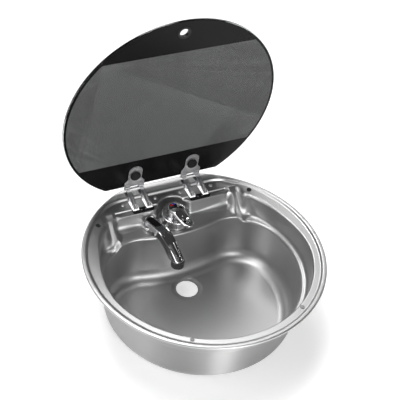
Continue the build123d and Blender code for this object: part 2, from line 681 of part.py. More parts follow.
def tap_foot_face(inset):
    """Plan of the body's foot: the round base and the neck out to the spout's post."""
    neck = (TAP_X - SPOUT_X) / 2
    face = Pos(TAP_X, TAP_Y) * Circle(TAP_BASE_R - inset)
    face += Pos(SPOUT_X, SPOUT_Y) * Circle(POST_FOOT_R - inset)
    return face + Pos(SPOUT_X + neck, (TAP_Y + SPOUT_Y) / 2) * Rectangle(2 * neck, NECK_WIDTH - 2 * inset)


def tap_body():
    """Round chromed body with a sloping top, side neck, spout post and threaded shank."""
    foot = tap_foot_z()
    height = TAP_RING_Z - foot + TAP_RING_R * sin(radians(TAP_TILT)) + 2
    body = Pos(TAP_X, TAP_Y, foot + height / 2) * Cone(TAP_BASE_R, TAP_RING_R, height)
    body -= along_axis(2 * TAP_BASE_R, ring_height(), ring_height() + 2 * TAP_BASE_R)
    rim = body.edges().filter_by(lambda e: e.center().Z > TAP_RING_Z - 2)
    body = chamfer(rim, TAP_RING_EDGE)
    body += prism(tap_foot_face(0), foot, SPOUT_SEAT_Z)
    body += prism(Pos(SPOUT_X, SPOUT_Y) * Circle(POST_R), SPOUT_SEAT_Z, POST_TOP_Z)
    body += prism(Pos(TAP_X, TAP_Y) * Circle(SHANK_R), SHANK_BOTTOM_Z, foot)
    body -= along_axis(DOME_SEAT_R, ring_height() - DOME_SEAT_DEPTH, ring_height() + 1)
    return body - along_axis(CARTRIDGE_R, CARTRIDGE_BOTTOM, ring_height())


def tap_gasket():
    face = tap_foot_face(0.5) - Pos(TAP_X, TAP_Y) * Circle(SHANK_R)
    return prism(face, TAP_DECK_Z, tap_foot_z())


def tap_washer():
    top = TAP_DECK_Z - SHEET
    ring = Circle(TAP_WASHER_R) - Circle(SHANK_R)
    return prism(Pos(TAP_X, TAP_Y) * ring, top - TAP_WASHER, top)


def tap_nut():
    top = TAP_DECK_Z - SHEET - TAP_WASHER
    ring = RegularPolygon(NUT_R, 6) - Circle(SHANK_R)
    return prism(Pos(TAP_X, TAP_Y) * ring, top - NUT_HEIGHT, top)


def inlet_stubs():
    stubs = Part()
    for side in (-1, 1):
        place = Pos(TAP_X + side * INLET_SPREAD, TAP_Y)
        stubs += prism(place * Circle(INLET_R), INLET_BOTTOM_Z, SHANK_BOTTOM_Z)
    return stubs


def cartridge():
    """Ceramic cartridge in the body, under the ball's centre."""
    return along_axis(CARTRIDGE_R, CARTRIDGE_BOTTOM, CARTRIDGE_TOP)


def lift_axis():
    """Unit vector across the lever, square to the axis that it turns about."""
    yaw = radians(LEVER_YAW)
    return tap_axis_plane().x_dir * cos(yaw) + tap_axis_plane().y_dir * sin(yaw)


def across_lever(radius, half):
    """A round bar through the ball's centre, along the axis that the lever tips on."""
    centre = tap_axis_plane().origin
    return rod(radius, centre - lift_axis() * half, centre + lift_axis() * half)


def lever_carrier():
    """Disc that turns on the cartridge, with two ears and the pivot pin of the stem."""
    disc_top = CARTRIDGE_TOP + CARRIER_DISC
    ear_in = STEM_R + EAR_GAP
    ear_out = ear_in + EAR_THICK
    ear = block((ear_in, -EAR_WIDTH / 2, disc_top), (ear_out, EAR_WIDTH / 2, EAR_TOP))
    ears = tap_axis_plane() * Rot(0, 0, LEVER_YAW) * both_sides(ear)
    return along_axis(CARRIER_DISC_R, CARTRIDGE_TOP, disc_top) + ears + across_lever(PIVOT_R, ear_out)


def cartridge_dome():
    """Domed nut over the cartridge, open in the middle for the lever's stem."""
    seat = ring_height() - DOME_SEAT_DEPTH
    dome = tap_axis_plane() * Sphere(DOME_R) & along_axis(DOME_SEAT_R, seat, 2 * DOME_R)
    dome += along_axis(DOME_SEAT_R, seat, ring_height())
    return dome - along_axis(DOME_HOLE_R, CARTRIDGE_TOP, 2 * DOME_R)


def lever_plane(at, height):
    """Level plane on the handle's centre line; X runs to the tip, Z up."""
    yaw = radians(LEVER_YAW)
    forward = (sin(yaw), -cos(yaw), 0)
    origin = (TAP_X + at * forward[0], TAP_Y + at * forward[1], TAP_BALL_Z + height)
    return Plane(origin=origin, x_dir=forward, z_dir=(0, 0, 1))


def handle_top(at):
    return HANDLE_TOP - (at - HANDLE_REAR) * HANDLE_FALL


def handle():
    """Flat handle with rounded ends and a thumb dish, falling towards its tip."""
    half = HANDLE_WIDTH / 2
    outline = Pos((HANDLE_REAR + HANDLE_TIP) / 2, 0) * Rectangle(HANDLE_TIP - HANDLE_REAR, HANDLE_WIDTH)
    outline = fillet(outline.vertices().group_by(Axis.X)[-1], half - 0.5)
    outline = fillet(outline.vertices().group_by(Axis.X)[0], HANDLE_REAR_R)
    column = prism(outline, -DOME_R, 2 * DOME_R)
    tops = [(at, handle_top(at)) for at in (HANDLE_REAR - 1, HANDLE_TIP + 1)]
    lows = [(at, top - HANDLE_THICK) for at, top in reversed(tops)]
    profile = make_face(Polyline(*tops, *lows, close=True))
    slab = Pos(0, half + 1, 0) * extrude(Plane.XZ * profile, amount=HANDLE_WIDTH + 2)
    bar = column & slab
    top_edges = bar.edges().filter_by(lambda e: abs(e.center().Z - handle_top(e.center().X)) < 0.3)
    bar = fillet(bar.edges().group_by(Axis.Z)[-1] + top_edges, 1.6)
    dish_z = handle_top(DISH_AT) + DISH_BALL_R - DISH_DEPTH
    return lever_plane(0, 0) * (bar - Pos(DISH_AT, 0, dish_z) * Sphere(DISH_BALL_R))


def marker_top():
    return handle_top(MARKER_AT)


def lever():
    """Chromed lever: a round cap over the dome, the handle and the stem into the cartridge."""
    inner_r = DOME_R + CAP_GAP
    plane = tap_axis_plane()
    cap = plane * Sphere(inner_r + CAP_WALL) & along_axis(2 * DOME_R, CAP_EDGE, 2 * DOME_R)
    stem = along_axis(STEM_R, STEM_BOTTOM, inner_r + CAP_WALL / 2)
    body = cap + handle() - plane * Sphere(inner_r) + stem
    hole = lever_plane(MARKER_AT, 0)
    body -= hole * prism(Circle(MARKER_R), marker_top() - MARKER_THICK, 2 * DOME_R)
    body -= hole * prism(Circle(LEVER_SCREW_R), marker_top() - HANDLE_THICK, marker_top())
    return body - across_lever(PIVOT_R + RUNNING_GAP, 2 * STEM_R)


def lever_screw():
    """Grub screw under the marker."""
    plane = lever_plane(MARKER_AT, 0)
    screw = plane * prism(Circle(LEVER_SCREW_R), marker_top() - HANDLE_THICK, marker_top() - MARKER_THICK)
    return screw - tap_axis_plane() * Sphere(DOME_R + CAP_GAP)


def lever_marker():
    """Round red and blue temperature mark over the screw."""
    low = marker_top() - MARKER_THICK
    return lever_plane(MARKER_AT, 0) * prism(Circle(MARKER_R), low, marker_top() + MARKER_PROUD)


def spout_plane(at, z):
    """Level plane on the spout's centre line; X runs to the tip, Z up."""
    yaw = radians(SPOUT_YAW)
    forward = (sin(yaw), -cos(yaw), 0)
    origin = (SPOUT_X + at * forward[0], SPOUT_Y + at * forward[1], z)
    return Plane(origin=origin, x_dir=forward, z_dir=(0, 0, 1))


def tap_spout():
    """Flat spout that runs level from its post, then bends down to the aerator."""
    fall = sin(radians(SPOUT_SLOPE)) / cos(radians(SPOUT_SLOPE))
    tip_top = SPOUT_TOP_Z - (SPOUT_LENGTH + 2 - SPOUT_CREST) * fall
    bend_low = SPOUT_TIP_BACK - (SPOUT_LOW_Z - SPOUT_TIP_Z) / fall
    seat = SPOUT_SEAT_Z + SPOUT_SEAT_GAP
    rear, front = -SPOUT_REAR_R - 2, SPOUT_LENGTH + 2
    outline = ((rear, SPOUT_TOP_Z), (SPOUT_CREST, SPOUT_TOP_Z), (front, tip_top), (front, SPOUT_TIP_Z),
               (SPOUT_TIP_BACK, SPOUT_TIP_Z), (bend_low, SPOUT_LOW_Z), (SPOUT_NECK_CLEAR, SPOUT_LOW_Z),
               (SPOUT_NECK_CLEAR - 4, seat), (rear, seat))
    profile = make_face(Polyline(*outline, close=True))
    crest = profile.vertices().sort_by_distance((SPOUT_CREST, SPOUT_TOP_Z))[0]
    profile = fillet(crest, SPOUT_CREST_R)
    width = SPOUT_TIP_WIDTH
    slab = Pos(0, width, 0) * extrude(Plane.XZ * profile, amount=2 * width)
    end_x = SPOUT_LENGTH - 5
    left = [(0, SPOUT_REAR_R), (SPOUT_CREST, width / 2 - 1), (end_x, width / 2)]
    right = [(x, -y) for x, y in reversed(left)]
    plan = make_face(Polyline(*left, *right, close=True)) + Circle(SPOUT_REAR_R)
    tip = ThreePointArc((end_x, width / 2), (SPOUT_LENGTH, 0), (end_x, -width / 2))
    plan += make_face((tip, Line((end_x, -width / 2), (end_x, width / 2))))
    spout = slab & prism(plan, AERATOR_BOTTOM_Z, 0)

    def is_top_edge(edge):
        at = edge.center()
        on_slope = at.X > SPOUT_CREST and at.Z > SPOUT_TIP_Z + 3 and abs(at.Y) > 3
        return at.Z > SPOUT_TOP_Z - 0.2 or on_slope

    spout = fillet(spout.edges().filter_by(is_top_edge), SPOUT_EDGE_R)
    spout -= prism(Circle(POST_R + BUSH_WALL + RUNNING_GAP), SPOUT_LOW_Z, POST_TOP_Z + SPOUT_SEAT_GAP)
    spigot = Pos(AERATOR_AT, 0) * Circle(AERATOR_SPIGOT_R)
    spout -= prism(spigot, SPOUT_TIP_Z - 1, SPOUT_TIP_Z + AERATOR_SPIGOT)
    return spout_plane(0, 0) * spout


def spout_bush():
    """Bearing bush on the post."""
    ring = Circle(POST_R + BUSH_WALL) - Circle(POST_R)
    return prism(Pos(SPOUT_X, SPOUT_Y) * ring, SPOUT_SEAT_Z, POST_TOP_Z)


def aerator():
    """Dark aerator under the tip."""
    part = prism(Circle(AERATOR_R), AERATOR_BOTTOM_Z, SPOUT_TIP_Z)
    part = fillet(part.edges().group_by(Axis.Z)[0], AERATOR_EDGE)
    part += prism(Circle(AERATOR_SPIGOT_R), SPOUT_TIP_Z, SPOUT_TIP_Z + AERATOR_SPIGOT)
    part -= prism(Circle(AERATOR_SPIGOT_R - 2), AERATOR_BOTTOM_Z, AERATOR_BOTTOM_Z + 3)
    return spout_plane(AERATOR_AT, 0) * part


PARTS = {
    "sink_bowl": sink_bowl(),
    "rim_gasket": rim_gasket(),
    "lid_buffers": lid_buffers(),
    "deck_rivets": deck_rivets(),
    "hinge_carrier_left": hinge_carrier(-HINGE_X),
    "hinge_carrier_right": hinge_carrier(HINGE_X),
    "hinge_pin_left": hinge_pin(-HINGE_X),
    "hinge_pin_right": hinge_pin(HINGE_X),
    "friction_washers": friction_washers(),
    "hinge_base_left": hinge_base(-HINGE_X),
    "hinge_base_right": hinge_base(HINGE_X),
    "hinge_base_screws": hinge_base_screws(),
    "glass_lid": glass_lid(),
    "lid_print": lid_print(),
    "lid_dot_print": lid_dot_print(),
    "finger_grommet": finger_grommet(),
    "hinge_bracket_left": hinge_bracket(-HINGE_X),
    "hinge_bracket_right": hinge_bracket(HINGE_X),
    "lid_cap_left": lid_cap(-HINGE_X),
    "lid_cap_right": lid_cap(HINGE_X),
    "lid_screws": lid_screws(),
    "lid_gaskets": lid_gaskets(),
    "tap_body": tap_body(),
    "tap_gasket": tap_gasket(),
    "tap_washer": tap_washer(),
    "tap_nut": tap_nut(),
    "inlet_stubs": inlet_stubs(),
    "cartridge": cartridge(),
    "cartridge_dome": cartridge_dome(),
    "lever_carrier": lever_carrier(),
    "spout_bush": spout_bush(),
    "tap_spout": tap_spout(),
    "aerator": aerator(),
    "lever": lever(),
    "lever_screw": lever_screw(),
    "lever_marker": lever_marker(),
}

os.makedirs("parts", exist_ok=True)
for name, part in PARTS.items():
    export_step(part, f"parts/{name}.step")
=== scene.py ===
import math

import bpy
import numpy as np
from mathutils import Matrix, Vector


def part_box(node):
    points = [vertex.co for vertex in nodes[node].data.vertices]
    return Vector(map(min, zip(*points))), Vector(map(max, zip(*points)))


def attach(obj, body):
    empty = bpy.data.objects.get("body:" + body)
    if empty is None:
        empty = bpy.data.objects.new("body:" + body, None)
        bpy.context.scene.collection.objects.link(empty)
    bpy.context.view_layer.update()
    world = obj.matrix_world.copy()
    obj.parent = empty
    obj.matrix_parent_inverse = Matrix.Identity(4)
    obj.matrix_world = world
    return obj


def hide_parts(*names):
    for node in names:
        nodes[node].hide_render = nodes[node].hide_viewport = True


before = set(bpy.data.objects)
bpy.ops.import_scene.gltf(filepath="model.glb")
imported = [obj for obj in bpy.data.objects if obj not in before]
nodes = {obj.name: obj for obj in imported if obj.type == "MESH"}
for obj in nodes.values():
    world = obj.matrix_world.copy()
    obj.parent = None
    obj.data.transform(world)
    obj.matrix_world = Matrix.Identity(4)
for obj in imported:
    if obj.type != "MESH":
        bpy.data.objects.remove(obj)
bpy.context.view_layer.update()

MM = 0.001
FLOOR_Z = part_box("sink_bowl")[0].z
LID_OPEN = 84.5     # degrees
LEVER_YAW = 17.0    # degrees to the right of straight forward
DOTS_PER_M = 480    # of the lid's dotted print


# ---- camera ----
CAMERA_AT = (-0.61322, -1.03149, 1.17985)
CAMERA_RIGHT = (0.9033, -0.4181, 0.0964)
CAMERA_FORWARD = (0.37153576, 0.64976121, -0.66315273)
LENS, SENSOR_WIDTH = 88.68, 36.0


def make_camera():
    data = bpy.data.cameras.new("camera")
    data.lens, data.sensor_width = LENS, SENSOR_WIDTH
    data.clip_start, data.clip_end = 0.05, 50.0
    cam = bpy.data.objects.new("camera", data)
    right = Vector(CAMERA_RIGHT).normalized()
    forward = Vector(CAMERA_FORWARD).normalized()
    up = right.cross(forward).normalized()
    right = forward.cross(up).normalized()
    turn = Matrix((right, up, -forward)).transposed().to_4x4()
    cam.matrix_world = Matrix.Translation(CAMERA_AT) @ turn
    bpy.context.scene.collection.objects.link(cam)
    bpy.context.scene.camera = cam


# ---- node helpers ----
def new_tree(name):
    mat = bpy.data.materials.new(name)
    mat.use_nodes = True
    mat.node_tree.nodes.clear()
    return mat, mat.node_tree


def add(tree, kind, **settings):
    node = tree.nodes.new(kind)
    for key, value in settings.items():
        setattr(node, key, value)
    return node


def put(node, **values):
    for key, value in values.items():
        node.inputs[key.replace("_", " ")].default_value = value
    return node


def grain_group():
    """Fine unevenness of a surface: a tone, a roughness and a bumped normal."""
    group = bpy.data.node_groups.new("grain", "ShaderNodeTree")
    for name, kind, value in (("Vector", "NodeSocketVector", None), ("Scale", "NodeSocketFloat", 400.0),
                              ("Low", "NodeSocketFloat", 0.25), ("High", "NodeSocketFloat", 0.35),
                              ("Bump", "NodeSocketFloat", 0.05), ("Dark", "NodeSocketFloat", 0.9)):
        socket = group.interface.new_socket(name, in_out="INPUT", socket_type=kind)
        if value is not None:
            socket.default_value = value
    for name, kind in (("Tone", "NodeSocketFloat"), ("Roughness", "NodeSocketFloat"),
                       ("Normal", "NodeSocketVector")):
        group.interface.new_socket(name, in_out="OUTPUT", socket_type=kind)
    source = add(group, "NodeGroupInput")
    target = add(group, "NodeGroupOutput")
    noise = put(add(group, "ShaderNodeTexNoise"), Detail=4.0, Roughness=0.6)
    slow = put(add(group, "ShaderNodeTexNoise"), Scale=9.0, Detail=2.0)
    rough = add(group, "ShaderNodeMapRange")
    tone = put(add(group, "ShaderNodeMapRange"), From_Min=0.3, From_Max=0.7, To_Max=1.0)
    mix = add(group, "ShaderNodeMath", operation="MULTIPLY_ADD")
    mix.inputs[1].default_value = 0.5
    bump = put(add(group, "ShaderNodeBump"), Distance=0.0002)
    half = add(group, "ShaderNodeMath", operation="MULTIPLY")
    half.inputs[1].default_value = 0.5
    link = group.links.new
    link(source.outputs["Vector"], noise.inputs["Vector"])
    link(source.outputs["Vector"], slow.inputs["Vector"])
    link(source.outputs["Scale"], noise.inputs["Scale"])
    link(slow.outputs[0], half.inputs[0])
    link(noise.outputs[0], mix.inputs[0])
    link(half.outputs[0], mix.inputs[2])
    link(mix.outputs[0], rough.inputs["Value"])
    link(source.outputs["Low"], rough.inputs["To Min"])
    link(source.outputs["High"], rough.inputs["To Max"])
    link(mix.outputs[0], tone.inputs["Value"])
    link(source.outputs["Dark"], tone.inputs["To Min"])
    link(source.outputs["Bump"], bump.inputs["Strength"])
    link(noise.outputs[0], bump.inputs["Height"])
    link(tone.outputs["Result"], target.inputs["Tone"])
    link(rough.outputs["Result"], target.inputs["Roughness"])
    link(bump.outputs["Normal"], target.inputs["Normal"])
    return group


GRAIN = grain_group()


def finish_material(name, colour, grain, stretch=(1, 1, 1), bevel=0.0, tangent=None, **shader):
    """A Principled material whose tone, roughness and bump come from the shared grain.
    grain is (scale, lowest roughness, highest roughness, bump, darkest tone)."""
    mat, tree = new_tree(name)
    link = tree.links.new
    out = add(tree, "ShaderNodeOutputMaterial")
    bsdf = put(add(tree, "ShaderNodeBsdfPrincipled"), **shader)
    place = add(tree, "ShaderNodeTexCoord")
    mapping = put(add(tree, "ShaderNodeMapping"), Scale=stretch)
    detail = add(tree, "ShaderNodeGroup", node_tree=GRAIN)
    for key, value in zip(("Scale", "Low", "High", "Bump", "Dark"), grain):
        detail.inputs[key].default_value = value
    tint = add(tree, "ShaderNodeMix", data_type="RGBA")
    tint.inputs["A"].default_value = (0, 0, 0, 1)
    tint.inputs["B"].default_value = (*colour, 1)
    link(place.outputs["Object"], mapping.inputs["Vector"])
    link(mapping.outputs["Vector"], detail.inputs["Vector"])
    link(detail.outputs["Tone"], tint.inputs["Factor"])
    link(tint.outputs["Result"], bsdf.inputs["Base Color"])
    link(detail.outputs["Roughness"], bsdf.inputs["Roughness"])
    link(detail.outputs["Normal"], bsdf.inputs["Normal"])
    if bevel:
        edge = put(add(tree, "ShaderNodeBevel", samples=6), Radius=bevel)
        link(detail.outputs["Normal"], edge.inputs["Normal"])
        link(edge.outputs["Normal"], bsdf.inputs["Normal"])
    if tangent:
        radial = add(tree, "ShaderNodeTangent", direction_type="RADIAL", axis=tangent)
        link(radial.outputs["Tangent"], bsdf.inputs["Tangent"])
    link(bsdf.outputs[0], out.inputs["Surface"])
    return mat


STEEL = finish_material("satin_stainless", (0.56, 0.56, 0.56), (700, 0.35, 0.42, 0.03, 0.95),
                        stretch=(1, 1, 0.25), Metallic=1.0)
# outer face of the sheet: brushed steel, its colour darker than the inside's as a painted shade
SHADED_WALL_STEEL = finish_material("brushed_and_shaded_outer_wall", (0.47, 0.47, 0.47), (500, 0.44, 0.48, 0.03, 0.95),
                             stretch=(1, 1, 8), tangent="Z", Metallic=1.0, Anisotropic=0.95,
                             Anisotropic_Rotation=0.25)
BRIGHT = finish_material("polished_steel", (0.80, 0.80, 0.81), (500, 0.27, 0.36, 0.03, 0.94),
                         bevel=0.5 * MM, Metallic=1.0)
ZINC = finish_material("zinc_plate", (0.52, 0.53, 0.55), (350, 0.32, 0.48, 0.08, 0.85), Metallic=1.0)
# chrome of the lever, spout and dome, darker than the body's: a painted shade standing in for their dark
# reflections
CHROME = finish_material("chrome", (0.62, 0.62, 0.63), (90, 0.03, 0.06, 0.01, 0.97),
                         bevel=0.8 * MM, Metallic=1.0)
SOFT_CHROME = finish_material("body_chrome", (0.88, 0.88, 0.89), (120, 0.21, 0.27, 0.01, 0.97),
                              Metallic=1.0)
BRASS = finish_material("turned_brass", (0.62, 0.45, 0.20), (400, 0.25, 0.38, 0.06, 0.85),
                        stretch=(1, 1, 6), Metallic=1.0)
RUBBER = finish_material("black_rubber", (0.018, 0.018, 0.019), (900, 0.45, 0.62, 0.12, 0.7))
PALE_RUBBER = finish_material("grey_rubber", (0.30, 0.30, 0.30), (900, 0.40, 0.55, 0.08, 0.8))
FOAM = finish_material("seal_foam", (0.03, 0.03, 0.03), (1500, 0.75, 0.9, 0.5, 0.6))
PLASTIC = finish_material("black_plastic", (0.012, 0.012, 0.013), (1200, 0.28, 0.42, 0.15, 0.8),
                          bevel=0.4 * MM, Specular_IOR_Level=0.25)
DARK = finish_material("dark_plastic", (0.12, 0.12, 0.122), (1200, 0.22, 0.32, 0.05, 0.85),
                       bevel=0.5 * MM, Metallic=0.6)
CERAMIC = finish_material("cartridge_shell", (0.74, 0.74, 0.70), (900, 0.35, 0.5, 0.1, 0.92))


def glass_material():
    mat, tree = new_tree("toughened_glass")
    out = add(tree, "ShaderNodeOutputMaterial")
    bsdf = put(add(tree, "ShaderNodeBsdfPrincipled"), Base_Color=(0.86, 0.9, 0.89, 1),
               Transmission_Weight=1.0, IOR=1.48, Roughness=0.0)
    place = add(tree, "ShaderNodeTexCoord")
    noise = put(add(tree, "ShaderNodeTexNoise"), Scale=60.0, Detail=3.0)
    smear = put(add(tree, "ShaderNodeMapRange"), From_Min=0.4, From_Max=0.8, To_Max=0.04)
    tree.links.new(place.outputs["Object"], noise.inputs["Vector"])
    tree.links.new(noise.outputs[0], smear.inputs["Value"])
    tree.links.new(smear.outputs["Result"], bsdf.inputs["Roughness"])
    tree.links.new(bsdf.outputs[0], out.inputs["Surface"])
    return mat


def marker_material():
    """Red on the left half and blue on the right, on the lever's own axis."""
    mat, tree = new_tree("red_blue_mark")
    out = add(tree, "ShaderNodeOutputMaterial")
    bsdf = put(add(tree, "ShaderNodeBsdfPrincipled"), Roughness=0.22)
    place = add(tree, "ShaderNodeTexCoord")
    across = add(tree, "ShaderNodeVectorMath", operation="DOT_PRODUCT")
    yaw = math.radians(LEVER_YAW)
    across.inputs[1].default_value = (math.cos(yaw), math.sin(yaw), 0)
    lo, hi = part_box("lever_marker")
    middle = (lo + hi) / 2
    shift = middle.x * math.cos(yaw) + middle.y * math.sin(yaw)
    step = put(add(tree, "ShaderNodeMapRange"), From_Min=shift - 0.00015, From_Max=shift + 0.00015)
    mix = add(tree, "ShaderNodeMix", data_type="RGBA")
    mix.inputs["A"].default_value = (0.62, 0.01, 0.015, 1)
    mix.inputs["B"].default_value = (0.015, 0.05, 0.55, 1)
    tree.links.new(place.outputs["Object"], across.inputs[0])
    tree.links.new(across.outputs["Value"], step.inputs["Value"])
    tree.links.new(step.outputs["Result"], mix.inputs["Factor"])
    tree.links.new(mix.outputs["Result"], bsdf.inputs["Base Color"])
    tree.links.new(bsdf.outputs[0], out.inputs["Surface"])
    return mat


def dot_material():
    """Grey dots on clear glass: a staggered grid in the plane of the lid."""
    mat, tree = new_tree("dotted_print")
    link = tree.links.new
    out = add(tree, "ShaderNodeOutputMaterial")
    bsdf = put(add(tree, "ShaderNodeBsdfPrincipled"), Base_Color=(0.12, 0.12, 0.122, 1), Roughness=0.5,
               Specular_IOR_Level=0.2)
    clear = put(add(tree, "ShaderNodeBsdfTransparent"), Color=(0.25, 0.25, 0.25, 1))
    place = add(tree, "ShaderNodeTexCoord")
    flat = put(add(tree, "ShaderNodeMapping"), Rotation=(math.radians(LID_OPEN), 0, 0))
    turn = put(add(tree, "ShaderNodeMapping"), Rotation=(0, 0, math.radians(45)),
               Scale=(DOTS_PER_M, DOTS_PER_M, DOTS_PER_M))
    parts = add(tree, "ShaderNodeSeparateXYZ")
    link(place.outputs["Object"], flat.inputs["Vector"])
    link(flat.outputs["Vector"], turn.inputs["Vector"])
    link(turn.outputs["Vector"], parts.inputs["Vector"])
    squares = []
    for axis in "XY":
        wave = add(tree, "ShaderNodeMath", operation="FRACT")
        centre = add(tree, "ShaderNodeMath", operation="SUBTRACT")
        centre.inputs[1].default_value = 0.5
        square = add(tree, "ShaderNodeMath", operation="MULTIPLY")
        link(parts.outputs[axis], wave.inputs[0])
        link(wave.outputs[0], centre.inputs[0])
        link(centre.outputs[0], square.inputs[0])
        link(centre.outputs[0], square.inputs[1])
        squares.append(square)
    total = add(tree, "ShaderNodeMath", operation="ADD")
    dot = put(add(tree, "ShaderNodeMapRange"), From_Min=0.24, From_Max=0.18)
    mix = add(tree, "ShaderNodeMixShader")
    link(squares[0].outputs[0], total.inputs[0])
    link(squares[1].outputs[0], total.inputs[1])
    link(total.outputs[0], dot.inputs["Value"])
    link(dot.outputs["Result"], mix.inputs[0])
    link(clear.outputs[0], mix.inputs[1])
    link(bsdf.outputs[0], mix.inputs[2])
    link(mix.outputs[0], out.inputs["Surface"])
    return mat


GLASS = glass_material()
PRINT = finish_material("black_print", (0.006, 0.006, 0.0065), (300, 0.2, 0.3, 0.01, 0.9),
                        Specular_IOR_Level=0.12)
DOTS = dot_material()
MARK = marker_material()

FINISH = {
    "sink_bowl": STEEL, "rim_gasket": FOAM, "lid_buffers": RUBBER, "deck_rivets": BRIGHT,
    "hinge_carrier_left": ZINC, "hinge_carrier_right": ZINC, "hinge_pin_left": ZINC, "hinge_pin_right": ZINC,
    "friction_washers": ZINC, "hinge_base_left": PLASTIC, "hinge_base_right": PLASTIC,
    "hinge_base_screws": ZINC, "tap_body": CHROME, "tap_gasket": RUBBER, "tap_washer": ZINC, "tap_nut": BRASS,
    "inlet_stubs": BRASS, "cartridge": CERAMIC, "cartridge_dome": CHROME, "spout_bush": DARK,
    "glass_lid": GLASS, "lid_print": PRINT, "lid_dot_print": DOTS, "finger_grommet": PLASTIC,
    "hinge_bracket_left": BRIGHT, "hinge_bracket_right": BRIGHT, "lid_cap_left": PLASTIC,
    "lid_cap_right": PLASTIC, "lid_screws": BRIGHT, "lid_gaskets": RUBBER, "tap_spout": CHROME,
    "aerator": DARK, "lever_carrier": BRASS, "lever": CHROME, "lever_screw": ZINC, "lever_marker": MARK,
}
for name, node in nodes.items():
    node.data.materials.clear()
    node.data.materials.append(FINISH[name])


# ---- the pressed sink ----
# Sizes in mm. The air above the sheet is drawn as rounded hollows joined together,
# the sheet's upper face is where that field is zero, and its lower face lies one sheet below.
SHEET = 1.0
GRID = 2.0
RIM_R, RIM_REAR_Y = 210.0, 198.0
LAND_R, DECK_REAR_Y = 200.0, 170.0
LIP_Z = LAND_Z = -3.0
SHELF_Z = -8.0
RECESS_X, RECESS_Y, RECESS_REACH, RECESS_R = 107.0, 60.0, 63.5, 6.0
SHELF_FROM, SHELF_Y = 25.0, 140.0
TAP_DECK_Z = -35.0
NOTCH_X, NOTCH_Y, NOTCH_R = -1.5, 128.0, 29.0
LEDGE_Z = -45.0
POCKET_R = 183.5
POCKET_FROM = 130.0             # inner wall of a side pocket's rear end
RAMP_SLOPE = 0.69
BOWL_FLOOR_Z = -133.2
DRAIN = (-2.0, 43.0, 20.0)      # x, y, radius
TAP_HOLE = (0.0, 121.7, 17.0)
HINGE_X = 55.5                  # middle of each hinge
ARM_X = 13.0                    # from there to its arms
SLOT_HALF, SLOT_Y, SLOT_REACH = 6.5, 163.75, 23.25


def joined(a, b, radius):
    """Two hollows in one, with the sheet's edge between them rounded."""
    return (np.maximum(radius, np.minimum(a, b))
            - np.hypot(np.maximum(radius - a, 0), np.maximum(radius - b, 0)))


def common(a, b, radius):
    """What lies in both hollows, with the corner between their walls rounded."""
    return (np.minimum(-radius, np.maximum(a, b))
            + np.hypot(np.maximum(radius + a, 0), np.maximum(radius + b, 0)))


def eased(low, high, value):
    """A smooth step from 0 at low to 1 at high; low may lie above high."""
    t = np.clip((value - low) / (high - low), 0, 1)
    return t * t * (3 - 2 * t)


def bowl_plan(x, y):
    """Distance to the bowl's plan: a round front, two rear corners and a shallow bulge between them."""
    front_r, corner_r, middle_y, peak_y = 172.0, 80.0, 88.0, 99.0
    corner_y = peak_y - corner_r
    corner_x = math.sqrt((front_r - corner_r) ** 2 - corner_y ** 2)
    rise = middle_y - corner_y
    bulge_r = (corner_x ** 2 + rise ** 2 - corner_r ** 2) / (2 * (corner_r - rise))
    bulge_y = middle_y + bulge_r
    x = np.abs(x)
    bulging = (x * (bulge_y - corner_y) - (bulge_y - y) * corner_x <= 0) & (y > corner_y - 60)
    cornering = (x * corner_y - y * corner_x < 0) & ~bulging
    bulge = bulge_r - np.hypot(x, y - bulge_y)
    corner = np.hypot(x - corner_x, y - corner_y) - corner_r
    return np.where(bulging, bulge, np.where(cornering, corner, np.hypot(x, y) - front_r))


